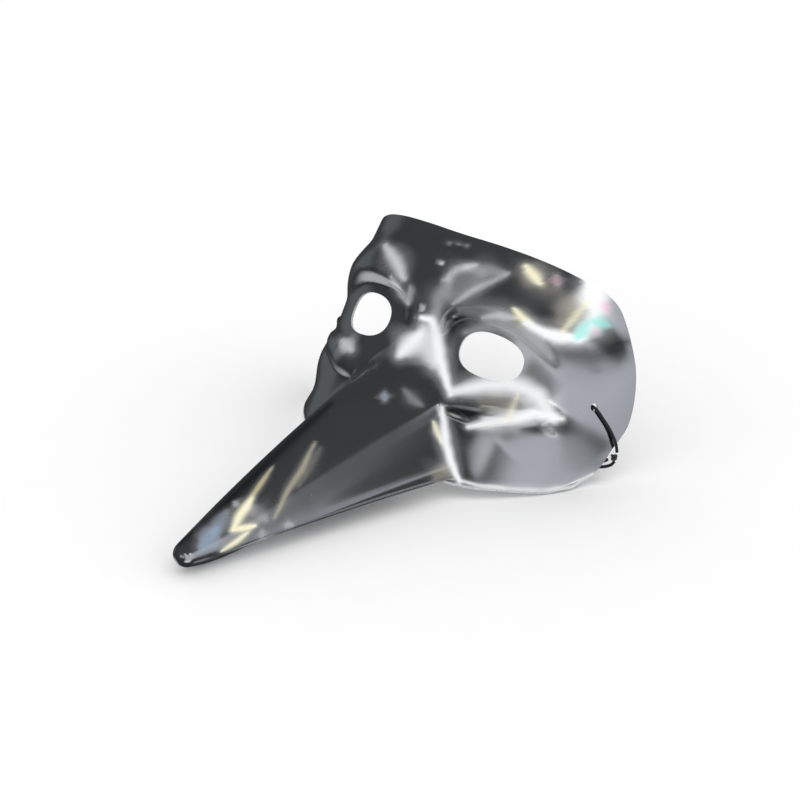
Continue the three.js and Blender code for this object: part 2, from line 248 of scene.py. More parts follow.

# Painted light on the silver: a painted highlight or painted reflection of a colour, or painted
# shade, which only darkens the silver; how strong it is; half its width and the spots it runs
# through, both in pixels of the picture
PAINTED_REFLECTION_COLOURS = {
    # White is a painted highlight; gold, blue, cyan and pink are painted coloured reflections; grey is
    # a painted dull reflection
    "white highlight": (0.98, 0.99, 1.0),
    "gold": (0.58, 0.50, 0.21),
    "pale gold": (0.97, 0.93, 0.66),
    "blue": (0.26, 0.38, 0.54),
    "cyan": (0.30, 0.90, 0.84),
    "pink": (0.95, 0.55, 0.72),
    "grey": (0.12, 0.125, 0.135),
}
PAINTED_LIGHT_STROKES = {
    # Every stroke here is painted light: painted highlights, painted reflections or painted shade
    "beak crease": ("shade", 0.75, 9, [(176, 546), (228, 500), (290, 440), (330, 404)]),
    "long streak": ("gold", 0.6, 4.2, [(315, 443), (301, 470), (288, 490), (275, 518)]),
    "long streak's glow": ("gold", 0.18, 7, [(320, 450), (298, 486)]),
    "bolt start": ("gold", 0.9, 3.4, [(272, 468), (258, 487), (244, 508)]),
    "bolt middle": ("pale gold", 1.05, 7.5, [(252, 498), (240, 516), (233, 530)]),
    "bolt turn": ("pale gold", 1.05, 5.2, [(231, 530), (256, 526)]),
    "bolt end": ("pale gold", 0.95, 4.5, [(249, 531), (238, 541), (222, 551)]),
    "tip blue, upper": ("blue", 0.45, 11, [(226, 512), (214, 533)]),
    "tip blue, lower": ("blue", 0.75, 14, [(216, 530), (203, 546)]),
    "highlight beside the bolt": ("white highlight", 0.28, 13, [(250, 508), (266, 519)]),
    "glint over the bolt": ("white highlight", 0.45, 4.5, [(234, 502), (238, 506)]),
    "glint under the streak": ("white highlight", 0.35, 6, [(284, 525), (292, 525)]),
    "glint under the bolt": ("white highlight", 0.3, 6, [(262, 530), (262, 538)]),
    "highlight on the beak's root": ("white highlight", 0.26, 7, [(405, 389), (411, 399), (422, 405)]),
    "blue spot": ("blue", 0.6, 6.5, [(384, 393), (385, 400)]),
    "beak's foot": ("gold", 0.35, 15, [(447, 466), (436, 482)]),
    "gold beside the crease": ("pale gold", 0.95, 5, [(433, 422), (442, 443)]),
    "crease line": ("white highlight", 1.05, 8, [(443, 408), (446, 442), (452, 464), (459, 482)]),
    "bridge side": ("white highlight", 0.7, 20, [(424, 328), (433, 366)]),
    "bridge foot": ("white highlight", 0.95, 18, [(419, 334), (400, 354)]),
    "bridge edge": ("white highlight", 1.05, 10,
                    [(422, 318), (431, 320), (436, 330), (440, 358), (450, 394)]),
    "bag hollow": ("shade", 0.45, 10, [(464, 404), (504, 409)]),
    "under the bag": ("shade", 0.4, 10, [(462, 432), (512, 432), (566, 427)]),
    "bag upper line": ("white highlight", 0.95, 17, [(454, 391), (486, 385), (506, 383), (524, 388),
                                          (540, 398), (555, 418)]),
    "bag lower line": ("white highlight", 1.05, 9.5, [(468, 426), (512, 419), (534, 415), (562, 418)]),
    "bag end": ("white highlight", 0.4, 14, [(522, 400), (542, 408)]),
    "bag slanting streak": ("pale gold", 0.7, 4.8, [(517, 396), (507, 419)]),
    "bag root": ("shade", 0.7, 9, [(446, 408), (474, 414)]),
    "bag hollow's warm reflection": ("gold", 0.22, 14, [(480, 402), (512, 408)]),
    "cheek under the temple": ("shade", 0.42, 34, [(566, 436), (600, 462)]),
    "cheek behind the bag": ("shade", 0.8, 7, [(539, 423), (553, 435)]),
    "cheek lip": ("white highlight", 0.85, 5, [(460, 481), (480, 486), (510, 490), (542, 491),
                                    (572, 488), (596, 478)]),
    "brow's dark end": ("shade", 0.7, 18, [(552, 351), (592, 356), (626, 343)]),
    "lid": ("grey", 0.95, 13.5, [(466, 311), (500, 318), (522, 331), (540, 344), (556, 362)]),
    "brow foot": ("shade", 0.8, 10, [(449, 345), (452, 324), (468, 314), (492, 319),
                                     (518, 323), (548, 342)]),
    "highlight on the lid": ("white highlight", 0.3, 13, [(466, 332), (500, 325), (528, 337), (552, 358)]),
    "brow line's start": ("white highlight", 0.5, 6, [(482, 317), (497, 314), (516, 318)]),
    "brow line's gold": ("pale gold", 1.0, 7, [(514, 309), (523, 319), (533, 327)]),
    "brow line": ("white highlight", 1.1, 10, [(524, 323), (546, 333), (562, 337), (586, 339)]),
    "gold in the brow": ("gold", 0.35, 20, [(560, 320), (578, 300)]),
    "brow end's top": ("white highlight", 1.1, 25, [(593, 280), (596, 308)]),
    "brow end's foot": ("white highlight", 1.0, 17, [(598, 300), (592, 324), (578, 339)]),
    "cyan, right": ("cyan", 0.75, 10, [(607, 324), (592, 320)]),
    "cyan, left": ("cyan", 0.75, 10, [(587, 325), (577, 339)]),
    "pink, upper": ("pink", 0.6, 9, [(605, 303), (607, 313)]),
    "pink, lower": ("pink", 0.4, 7, [(593, 334), (599, 329)]),
    "slanting gold": ("pale gold", 0.75, 6.5, [(588, 303), (576, 316), (562, 332)]),
    "warm reflection over the brow": ("gold", 0.2, 24, [(520, 270), (558, 290)]),
    "gold over the brow": ("pale gold", 1.0, 9.5, [(525, 265), (541, 284)]),
    "pink over the brow": ("pink", 0.45, 9, [(556, 274), (557, 284)]),
    "band's upper edge": ("white highlight", 0.5, 7, [(443, 281), (458, 270), (476, 265)]),
    "band's top": ("white highlight", 0.32, 11, [(466, 268), (504, 272)]),
    "band's left": ("white highlight", 0.34, 12, [(434, 320), (438, 298), (450, 281)]),
    "band's middle": ("white highlight", 0.24, 24, [(450, 296), (480, 276)]),
    "band's lower edge": ("white highlight", 0.42, 5.5, [(453, 304), (472, 291), (487, 284), (509, 275)]),
    "forehead glint": ("white highlight", 0.7, 3.6, [(441, 261), (441, 264)]),
    "forehead glint, left": ("white highlight", 0.3, 3.2, [(448, 242), (450, 244)]),
    "forehead glint, middle": ("white highlight", 0.3, 3.2, [(457, 243), (459, 244)]),
    "forehead glint, right": ("white highlight", 0.3, 3.2, [(465, 246), (468, 246)]),
    "right brow patch": ("white highlight", 0.65, 12, [(385, 246), (396, 263), (404, 279)]),
    "right brow line": ("white highlight", 0.5, 6, [(391, 277), (400, 290), (408, 304)]),
    "right brow's inner line": ("white highlight", 0.4, 5.5, [(411, 286), (408, 305)]),
    "right cheek patch": ("white highlight", 0.65, 14, [(343, 341), (351, 349)]),
}

# The painted highlights, reflections and shade are laid out as the camera sees them, and this share of
# their depth counts as well
MARK_DEPTH = 0.2

# What a pixel of the picture measures at the mask
PIXEL = CAMERA_DISTANCE * CAMERA_SENSOR / CAMERA_LENS / PICTURE_SIZE

# How many pixels round a spot, and how deep, the sheet is searched for the spot's place
SPOT_REACH = 3
SKIN_REACH = 0.006

# How pointed the ends of a painted stroke are, and the share and the width of the painted glow round
# it
MARK_POINT = 0.55
GLOW = 0.28
GLOW_WIDTH = 2.1

# A painted stroke's edges wander this far, in waves that run along these directions with these lengths
MARK_WANDER = np.array([0.00007, 0.000042, 0.000112])
MARK_WAVES = [
    (np.array([0.3, 0.8, 0.5]), 0.011),
    (np.array([-0.7, 0.4, 0.6]), 0.0067),
]


class MaskSizes(bpy.types.PropertyGroup):
    half_width: FloatProperty(
        name="Half width", description="From the middle to the widest place of the face",
        default=0.0874, unit="LENGTH")
    face_depth: FloatProperty(
        name="Face depth", description="How far the temples lie behind the brow",
        default=0.0602, unit="LENGTH")
    wall: FloatProperty(
        name="Wall", description="Thickness of the plastic sheet", default=0.001, unit="LENGTH")
    beak_length: FloatProperty(
        name="Beak length", description="From the face to the tip along the beak",
        default=0.1476, unit="LENGTH")
    beak_droop: FloatProperty(
        name="Beak droop", description="How far the beak points below straight ahead",
        default=math.radians(40.7), subtype="ANGLE")
    tip_radius: FloatProperty(
        name="Tip radius", description="Radius of the rounded end of the beak",
        default=0.0059, unit="LENGTH")


class ElasticSizes(bpy.types.PropertyGroup):
    diameter: FloatProperty(
        name="Elastic diameter", description="Thickness of the round elastic",
        default=0.0015, unit="LENGTH")
    knot_radius: FloatProperty(
        name="Knot radius", description="Half the size of a tied knot",
        default=0.0019, unit="LENGTH")


class MaskColours(bpy.types.PropertyGroup):
    silver: FloatVectorProperty(
        name="Silver", description="Colour of the silvered skin",
        default=(0.62, 0.63, 0.65), subtype="COLOR", size=3, min=0, max=1)
    cut_edge: FloatVectorProperty(
        name="Cut edge", description="Bare plastic where the sheet was cut",
        default=(0.62, 0.63, 0.64), subtype="COLOR", size=3, min=0, max=1)
    elastic: FloatVectorProperty(
        name="Elastic", description="Colour of the woven elastic",
        default=(0.012, 0.012, 0.014), subtype="COLOR", size=3, min=0, max=1)
    floor: FloatVectorProperty(
        name="Floor", description="Colour of the floor",
        default=(0.985, 0.985, 0.985), subtype="COLOR", size=3, min=0, max=1)
    haze: FloatProperty(
        name="Haze", description="Roughness of the silvered skin",
        default=0.13, min=0, max=1, subtype="FACTOR")


def bell(x):
    """One at the middle, falling softly to nothing at one."""
    inside = np.minimum(np.abs(x), 1)
    return (1 - inside ** 2) ** 2


def mound(x):
    """One at the middle, falling ever faster to a tight bend at one."""
    fall = 1 - x * x
    return (fall + np.hypot(fall, FOOT_SOFTNESS)) / (1 + math.hypot(1, FOOT_SOFTNESS))


def ease(x, start, end):
    """From nothing at the start to one at the end, soft at both."""
    share = np.clip((x - start) / (end - start), 0, 1)
    return share * share * (3 - 2 * share)


def smooth_between(before, start, end, after, share):
    """The smooth curve from start to end that its neighbours steer."""
    bend = 3 * (start - end) + after - before
    return start + 0.5 * share * (
        end - before + share * (2 * before - 5 * start + 4 * end - after + share * bend))


def along(values, t):
    """Values at evenly numbered stations, joined by a smooth curve."""
    values = np.array(values, float)
    last = len(values) - 1
    padded = np.concatenate([[2 * values[0] - values[1]], values, [2 * values[-1] - values[-2]]])
    at = np.clip(t, 0, 1) * last
    i = np.minimum(np.floor(at).astype(int), last - 1)
    share = (at - i).reshape(at.shape + (1,) * (values.ndim - 1))
    return smooth_between(padded[i], padded[i + 1], padded[i + 2], padded[i + 3], share)


def round_loop(half, t):
    """Places on an outline that runs right round: the left half, then its mirror image."""
    half = np.array(half, float)
    full = np.concatenate([half, half[1:-1][::-1] * (-1, 1)])
    count = len(full)
    i = np.floor(t * count).astype(int)
    share = (t * count - i)[..., None]
    return smooth_between(
        full[(i - 1) % count], full[i % count], full[(i + 1) % count], full[(i + 2) % count], share)


def roll_rise(roll, side, height):
    """How far a roll of plastic that follows a path stands out."""
    line = along(roll["path"], np.linspace(0, 1, PATH_STEPS + 1))
    start = line[:-1]
    step = np.diff(line, axis=0)
    offset = np.stack([side, height], -1)[..., None, :] - start
    share = np.clip((offset * step).sum(-1) / (step * step).sum(-1), 0, 1)
    offset = offset - share[..., None] * step
    far = np.linalg.norm(offset, axis=-1)
    turn = step[:, 0] * offset[..., 1] - step[:, 1] * offset[..., 0]
    turn = turn / (np.linalg.norm(step, axis=-1) * np.maximum(far, TINY))
    nearest = far.argmin(-1)[..., None]
    far, turn, share = (np.take_along_axis(x, nearest, -1)[..., 0] for x in (far, turn, share))
    where = (nearest[..., 0] + share) / PATH_STEPS
    upper = (1 + turn) / 2
    above = bell(far / along(roll["above"], where))
    below = mound(far / along(roll["below"], where))
    return along(roll["rise"], where) * (below + (above - below) * upper)


def bridge_rise(side, height):
    """The wedge between the eyes."""
    down = (BRIDGE_TOP - height) / (BRIDGE_TOP - BRIDGE_BOTTOM)
    half_width = BRIDGE_TOP_HALF_WIDTH + np.maximum(down, 0) * (
        BRIDGE_BOTTOM_HALF_WIDTH - BRIDGE_TOP_HALF_WIDTH)
    across = np.hypot(side, np.maximum(height - BRIDGE_TOP, 0)) / half_width
    rise = BRIDGE_TOP_RISE + (BRIDGE_BOTTOM_RISE - BRIDGE_TOP_RISE) * ease(down, 0, 1)
    return rise * mound(across ** BRIDGE_POINT)


def relief(side, height):
    """How far the face stands out from the bare sheet."""
    side = np.abs(side)
    eye_x = side - EYE_SIDE
    eye_y = height - EYE_HEIGHT
    return (
        roll_rise(BROW, side, height)
        + roll_rise(CHEEK, side, height)
        + bridge_rise(side, height)
        + JOWL_RISE * bell(np.hypot(
            (side - JOWL_PLACE[0]) / JOWL_SIZE[0], (height - JOWL_PLACE[1]) / JOWL_SIZE[1]))
        - FOREHEAD_SLOPE * np.maximum(0, height - FOREHEAD_TOP)
        - SOCKET_DEPTH * bell(np.hypot(eye_x / SOCKET_SIZE[0], eye_y / SOCKET_SIZE[1]))
        + LID_RISE * bell(np.hypot(eye_x / LID_SIZE[0], eye_y / LID_SIZE[1])))


def outward_at(sizes, side):
    """Level direction that points straight out of the bare sheet."""
    share = np.abs(side) / sizes.half_width
    slope = sizes.face_depth / sizes.half_width * PLAN_POWER * share ** (PLAN_POWER - 1)
    slope = slope * np.sign(side)
    direction = np.stack([slope, -np.ones_like(slope), np.zeros_like(slope)], -1)
    return direction / np.linalg.norm(direction, axis=-1, keepdims=True)


def face_places(sizes, side, height, gap=0):
    """Places on the outer skin, or standing out from it by a gap."""
    side = np.asarray(side, float)
    height = np.asarray(height, float)
    depth = sizes.face_depth * (np.abs(side) / sizes.half_width) ** PLAN_POWER
    bare = np.stack([side, depth, height], -1)
    return bare + outward_at(sizes, side) * (relief(side, height) + gap)[..., None]


def lie_down(places):
    """The same places once the mask lies on its beak tip and its lower edge."""
    turn = np.array(Matrix.Rotation(-LYING_TILT, 3, "X"))
    return places @ turn.T + LYING_PLACE


def eye_reach(side, height):
    """One on the outline of an eye hole, and less inside it."""
    across = np.abs(np.abs(side) - EYE_SIDE) / EYE_HALF_LENGTH
    up = np.abs(height - EYE_HEIGHT) / EYE_HALF_HEIGHT
    return (across ** EYE_CORNER + up ** EYE_CORNER) ** (1 / EYE_CORNER)


def draw_to_eyes(side, height):
    """Moves the nearest places onto the outlines of the eye holes, and says which they are."""
    reach = eye_reach(side, height)
    drawn = np.zeros(reach.shape, bool)
    for first, second in ((np.s_[1:, :], np.s_[:-1, :]), (np.s_[:, 1:], np.s_[:, :-1])):
        crosses = (reach[first] < 1) != (reach[second] < 1)
        first_nearer = np.abs(reach[first] - 1) < np.abs(reach[second] - 1)
        drawn[first] |= crosses & first_nearer
        drawn[second] |= crosses & ~first_nearer
    middle = np.sign(side) * EYE_SIDE
    new_side = np.where(drawn, middle + (side - middle) / reach, side)
    new_height = np.where(drawn, EYE_HEIGHT + (height - EYE_HEIGHT) / reach, height)
    return new_side, new_height, drawn


def sheet_places(sizes):
    """Places from the beak's tip over the crease to the rim, a line of them for each meridian;
    which of them lie on the outline of an eye hole; and which on it or inside it."""
    droop = sizes.beak_droop
    axis = np.array([0, -math.cos(droop), -math.sin(droop)])
    axis_up = np.array([0, -math.sin(droop), math.cos(droop)])
    across = np.array([1, 0, 0])
    root_centre = np.array([0, 0, BEAK_ROOT_Z])
    tip_centre = root_centre + axis * (sizes.beak_length - sizes.tip_radius)

    t = np.linspace(0, 1, MERIDIANS + 1)
    root = round_loop(BEAK_ROOT, t)
    rim = round_loop(RIM, t)
    corner = face_places(sizes, root[:, 0], root[:, 1])
    offset = corner - root_centre
    angle = np.arctan2(offset @ axis_up, offset[:, 0])[:, None]
    radial = np.cos(angle) * across + np.sin(angle) * axis_up

    def on_cap(lean):
        return tip_centre + sizes.tip_radius * (radial * math.cos(lean) + axis * math.sin(lean))

    cap_edge = on_cap(TIP_CONE)
    length = np.linalg.norm(cap_edge - corner, axis=1, keepdims=True)
    bag = outward_at(sizes, root[:, 0]) * roll_rise(CHEEK, np.abs(root[:, 0]), root[:, 1])[:, None]
    plain_corner = corner - bag
    near_root = plain_corner + (cap_edge - plain_corner) / 3
    near_root += radial * (ROOT_FULLNESS + ROOT_CROWN * np.sin(angle))
    near_tip = cap_edge + radial * (length / 3 * math.sin(TIP_CONE))
    near_tip += radial * (TIP_FULLNESS + TIP_CROWN * np.sin(angle))
    near_tip -= axis * (length / 3 * math.cos(TIP_CONE))

    def beak_side(s):
        return ((1 - s) ** 3 * plain_corner + 3 * s * (1 - s) ** 2 * near_root
                + 3 * s * s * (1 - s) * near_tip + s ** 3 * cap_edge + (1 - s) ** BAG_FADE * bag)

    cheek_width = np.linalg.norm(rim - root, axis=1, keepdims=True)
    widening = ease(np.sin(angle), WIDENS_AT, WIDEST_AT)
    fillet = CREASE_FILLET + (BRIDGE_FILLET - CREASE_FILLET) * widening
    fillet = np.minimum(fillet, FILLET_SHARE * cheek_width)
    beak_start = fillet / length
    face_start = fillet / cheek_width
    lip_start = 1 - np.minimum(LIP_REACH / cheek_width, LIP_SHARE)
    lip_rise = LIP_RISE * ease(-rim[:, 1:], -LIP_NONE, -LIP_FULL)

    rows = np.linspace(0, 1, FACE_ROWS)
    share = face_start + (lip_start - face_start) * rows
    flare = np.linspace(0, 1, LIP_ROWS + 1)[1:]
    share = np.concatenate([share, lip_start + (1 - lip_start) * flare], axis=1)
    gap = np.concatenate([np.zeros_like(face_start * rows), lip_rise * flare ** 2], axis=1)
    side = root[:, :1] + (rim[:, :1] - root[:, :1]) * share
    height = root[:, 1:] + (rim[:, 1:] - root[:, 1:]) * share
    side, height, drawn = draw_to_eyes(side, height)
    face = face_places(sizes, side, height, gap)

    near_end = beak_side(beak_start)
    pole = math.pi / 2
    lines = [on_cap(pole + (TIP_CONE - pole) * i / CAP_ROWS) for i in range(CAP_ROWS)]
    lines += [beak_side(1 + (beak_start - 1) * i / BEAK_ROWS) for i in range(BEAK_ROWS)]
    for i in range(FILLET_ROWS):
        f = i / FILLET_ROWS
        lines.append((1 - f) ** 2 * near_end + 2 * f * (1 - f) * corner + f * f * face[:, 0])
    beak = np.stack(lines, axis=1)

    no_hole = np.zeros(beak.shape[:2], bool)
    inside = eye_reach(side, height) < 1 + TINY
    return (np.concatenate([beak, face], axis=1),
            np.concatenate([no_hole, drawn], axis=1),
            np.concatenate([no_hole, inside], axis=1))


def camera_axes():
    """Which ways are right, up and back for the camera."""
    a, e = CAMERA_AZIMUTH, CAMERA_ELEVATION
    back = Vector((math.sin(a) * math.cos(e), -math.cos(a) * math.cos(e), math.sin(e)))
    level = Vector((math.cos(a), math.sin(a), 0))
    right = level * math.cos(CAMERA_ROLL) + back.cross(level) * math.sin(CAMERA_ROLL)
    return right, back.cross(right), back


def seen_at(places, spots):
    """Those of the places that the camera sees nearest to spots in its picture."""
    right, up, back = (np.array(axis) for axis in camera_axes())
    offset = places - np.array(CAMERA_TARGET) - CAMERA_DISTANCE * back
    depth = -offset @ back
    scale = CAMERA_DISTANCE / PIXEL / depth[:, None]
    picture = PICTURE_SIZE / 2 + np.stack([offset @ right, -offset @ up], -1) * scale
    found = []
    for spot in spots:
        away = np.linalg.norm(picture - spot, axis=1)
        near = np.flatnonzero(away < away.min() + SPOT_REACH)
        near = near[depth[near] < depth[near].min() + SKIN_REACH]
        found.append(places[near[away[near].argmin()]])
    return np.array(found)


def from_the_front(places):
    """Places as the painted light is laid out, with their depth made less."""
    back = np.array(camera_axes()[2])
    return places - (1 - MARK_DEPTH) * (places @ back)[..., None] * back


def streak(places, route, half_width):
    """A soft streak along a route, one on its middle line and pointed at both ends."""
    step = np.diff(route, axis=0)
    length = np.linalg.norm(step, axis=1)
    offset = places[:, None] - route[:-1]
    share = np.clip((offset * step).sum(-1) / length ** 2, 0, 1)
    far = np.linalg.norm(offset - share[..., None] * step, axis=-1)
    nearest = far.argmin(1)
    picked = np.arange(len(places)), nearest
    passed = np.concatenate([[0], length.cumsum()])[nearest] + share[picked] * length[nearest]
    taper = 1 - MARK_POINT * (2 * passed / length.sum() - 1) ** 2
    reach = far[picked] / (half_width * taper)
    return (1 - GLOW) * bell(reach) + GLOW * bell(reach / GLOW_WIDTH)


def painted_light_on(places):
    """Painted highlights and reflections at places on the lying sheet, as colour and cover, and how
    far painted shade darkens the silver.
    """
    waves = sum(np.sin(places @ turn * 2 * math.pi / wave) for turn, wave in MARK_WAVES)
    laid = from_the_front(places) + waves[:, None] * MARK_WANDER
    colour = np.ones((len(places), 3))
    cover = np.zeros(len(places))
    shade = np.zeros(len(places))
    for kind, strength, half_width, spots in PAINTED_LIGHT_STROKES.values():
        route = from_the_front(seen_at(places, spots))
        mask = np.minimum(strength * streak(laid, route, half_width * PIXEL), 1)
        if kind == "shade":
            shade = np.maximum(shade, mask)
            continue
        total = 1 - (1 - cover) * (1 - mask)
        share = mask / np.maximum(total, TINY)
        colour += share[:, None] * (np.array(PAINTED_REFLECTION_COLOURS[kind]) - colour)
        cover = total
    return np.column_stack([colour, cover]), shade


def give(tree, socket, value):
    """Links an input to an output, or sets it to a plain value."""
    if isinstance(value, bpy.types.NodeSocket):
        tree.links.new(value, socket)
    else:
        socket.default_value = value


def add_node(tree, kind, inputs=None, **settings):
    """A node with its settings and what its inputs are given."""
    made = tree.nodes.new(kind)
    for name, value in settings.items():
        setattr(made, name, value)
    for name, value in (inputs or {}).items():
        give(tree, made.inputs[name], value)
    return made


def calculate(tree, operation, first, second=0.0, third=0.0, clamp=False):
    """The output of one Math node."""
    made = add_node(
        tree, "ShaderNodeMath", {0: first, 1: second, 2: third}, operation=operation, use_clamp=clamp)
    return made.outputs["Value"]


def eased(tree, value, start, end):
    """From nothing at the start to one at the end, soft at both."""
    made = add_node(
        tree, "ShaderNodeMapRange", {"Value": value, "From Min": start, "From Max": end},
        interpolation_type="SMOOTHSTEP")
    return made.outputs["Result"]


def blended(tree, share, first, second):
    """The colour output of one Mix node, whose inputs 0, 6 and 7 are the share and the colours."""
    first, second = (
        end if isinstance(end, bpy.types.NodeSocket) else (*end[:3], 1) for end in (first, second))
    made = add_node(tree, "ShaderNodeMix", data_type="RGBA")
    for socket, value in zip((made.inputs[0], made.inputs[6], made.inputs[7]), (share, first, second)):
        give(tree, socket, value)
    return made.outputs[2]


def noise(tree, place, scale, detail, roughness=0.5):
    """The values of one Noise Texture node."""
    inputs = {"Vector": place, "Scale": scale, "Detail": detail, "Roughness": roughness}
    return add_node(tree, "ShaderNodeTexNoise", inputs).outputs["Fac"]


def new_group(name, inputs, outputs):
    """A shader node group with named sockets, and its input and output nodes."""
    tree = bpy.data.node_groups.new(name, "ShaderNodeTree")
    for label, (kind, value) in inputs.items():
        socket = tree.interface.new_socket(label, in_out="INPUT", socket_type="NodeSocket" + kind)
        socket.default_value = value
    for label, kind in outputs.items():
        tree.interface.new_socket(label, in_out="OUTPUT", socket_type="NodeSocket" + kind)
    return tree, tree.nodes.new("NodeGroupInput").outputs, tree.nodes.new("NodeGroupOutput").inputs


def use_group(tree, name, inputs):
    """A group placed in a material or in the studio, with its own values."""
    group = bpy.data.node_groups[name]
    return add_node(tree, "ShaderNodeGroup", inputs, node_tree=group).outputs


def handled_sheet_group():
    """What handling did to a silvered sheet: haze, fine scuffs and the waves of the moulding."""
    tree, given, out = new_group(
        "handled sheet",
        {"Place": ("Vector", (0, 0, 0)), "Haze": ("Float", 0.0), "Scuffs": ("Float", 0.0)},
        {"Roughness": "Float", "Scuff": "Float", "Height": "Float"})
    place = given["Place"]
    cloud = noise(tree, place, scale=45, detail=3, roughness=0.55)
    grain = noise(tree, place, scale=900, detail=2, roughness=0.6)
    waves = noise(tree, place, scale=38, detail=1, roughness=0.4)
    stretch = add_node(tree, "ShaderNodeMapping", {
        "Vector": place, "Rotation": (0.4, 0.2, 0.9), "Scale": (90, 1500, 700)})
    scratch = noise(tree, stretch.outputs["Vector"], scale=1, detail=4, roughness=0.7)
    where = eased(tree, cloud, 0.48, 0.66)
    lines = eased(tree, scratch, 0.60, 0.72)
    scuff = calculate(tree, "MULTIPLY", calculate(tree, "MULTIPLY", where, lines), given["Scuffs"])
    hazed = calculate(tree, "MULTIPLY_ADD", cloud, 0.07, given["Haze"])
    give(tree, out["Roughness"], calculate(tree, "MULTIPLY_ADD", scuff, 0.35, hazed, clamp=True))
    give(tree, out["Scuff"], scuff)
    height = calculate(tree, "MULTIPLY_ADD", grain, 0.02, waves)
    give(tree, out["Height"], calculate(tree, "MULTIPLY_ADD", scuff, -0.03, height))


def card_group():
    """How much of a soft studio card is seen in a direction."""
    numbers = ("Azimuth", "Elevation", "Middle azimuth", "Middle elevation",
               "Half width", "Half height", "Softness")
    tree, given, out = new_group(
        "studio card", {name: ("Float", 0.0) for name in numbers}, {"Seen": "Float"})

    def seen_along(angle, middle, half):
        off = calculate(tree, "ABSOLUTE", calculate(tree, "SUBTRACT", angle, middle))
        edge = calculate(tree, "ADD", half, given["Softness"])
        return eased(tree, off, edge, calculate(tree, "SUBTRACT", half, given["Softness"]))

    level = seen_along(given["Azimuth"], given["Middle azimuth"], given["Half width"])
    upright = seen_along(given["Elevation"], given["Middle elevation"], given["Half height"])
    give(tree, out["Seen"], calculate(tree, "MULTIPLY", level, upright))


def new_material(name):
    """A material: its node tree, its one shader and the place on the piece."""
    made = bpy.data.materials.new(name)
    made.use_nodes = True
    place = add_node(made.node_tree, "ShaderNodeTexCoord").outputs["Object"]
    return made, made.node_tree, made.node_tree.nodes["Principled BSDF"].inputs, place


def scaled(colour, times):
    """A colour made this many times as light."""
    return tuple(times * part for part in colour)


def raised(tree, height, strength, distance):
    """The normal of a surface that a height raises a little."""
    inputs = {"Height": height, "Strength": strength, "Distance": distance}
    return add_node(tree, "ShaderNodeBump", inputs).outputs["Normal"]


def silver_skin(colours):
    """The silvered outside, with painted highlights and reflections in milky white, gold and blue, and
    painted shade.
    """
    made, tree, skin, place = new_material("silver_sheet")
    wear = use_group(tree, "handled sheet", {"Place": place, "Haze": colours.haze, "Scuffs": 0.35})
    worn = blended(tree, wear["Scuff"], colours.silver, SCUFF_COLOUR)
    painted_reflection = add_node(tree, "ShaderNodeAttribute", attribute_name="painted_reflection").outputs
    shade = add_node(tree, "ShaderNodeAttribute", attribute_name="shade").outputs["Fac"]
    # Painted shade darkens the silver, and painted highlights and reflections cover its mirror
    silver = blended(tree, shade, worn, SHADE_COLOUR)
    give(tree, skin["Base Color"], blended(tree, painted_reflection["Alpha"], silver, painted_reflection["Color"]))
    give(tree, skin["Metallic"], calculate(tree, "SUBTRACT", 1.0, painted_reflection["Alpha"]))
    give(tree, skin["Roughness"], wear["Roughness"])
    give(tree, skin["Normal"], raised(tree, wear["Height"], 0.5, 0.0004))
    return made


def silver_inside(colours):
    """The inside of the sheet, duller than the outside."""
    made, tree, skin, place = new_material("silver_inside")
    wear = use_group(tree, "handled sheet", {"Place": place, "Haze": 0.28, "Scuffs": 0.6})
    colour = blended(tree, wear["Scuff"], scaled(colours.silver, 0.8), colours.silver)
    give(tree, skin["Base Color"], colour)
    give(tree, skin["Metallic"], 0.7)
    give(tree, skin["Roughness"], wear["Roughness"])
    give(tree, skin["Normal"], raised(tree, wear["Height"], 0.5, 0.0005))
    return made


def cut_plastic(colours):
    """The bare edge where the sheet was cut."""
    made, tree, skin, place = new_material("cut_edge")
    saw = noise(tree, place, scale=700, detail=3)
    cut = eased(tree, saw, 0.3, 0.7)
    colour = blended(tree, cut, scaled(colours.cut_edge, 0.75), colours.cut_edge)
    give(tree, skin["Base Color"], colour)
    give(tree, skin["Roughness"], 0.35)
    give(tree, skin["Normal"], raised(tree, saw, 0.4, 0.0002))
    return made


def woven_elastic(colours):
    """Round black elastic, braided over rubber."""
    made, tree, skin, place = new_material("black_elastic")
    fuzz = noise(tree, place, scale=2600, detail=3)
    braid = add_node(
        tree, "ShaderNodeTexVoronoi", {"Vector": place, "Scale": 2200}).outputs["Distance"]
    strands = calculate(tree, "MULTIPLY", braid, fuzz)
    lit = eased(tree, strands, 0.1, 0.5)
    colour = blended(tree, lit, colours.elastic, scaled(colours.elastic, 3.5))
    give(tree, skin["Base Color"], colour)
    give(tree, skin["Roughness"], 0.62)
    give(tree, skin["Sheen Weight"], 0.25)
    give(tree, skin["Normal"], raised(tree, braid, 0.6, 0.0002))
    return made


def pale_floor(colours):
    """Pale paper."""
    made, tree, skin, place = new_material("pale_floor")
    fibre = noise(tree, place, scale=60, detail=4)
    paper = blended(tree, fibre, scaled(colours.floor, 0.985), colours.floor)
    give(tree, skin["Base Color"], paper)
    give(tree, skin["Roughness"], 0.9)
    give(tree, skin["Specular IOR Level"], 0.1)
    return made


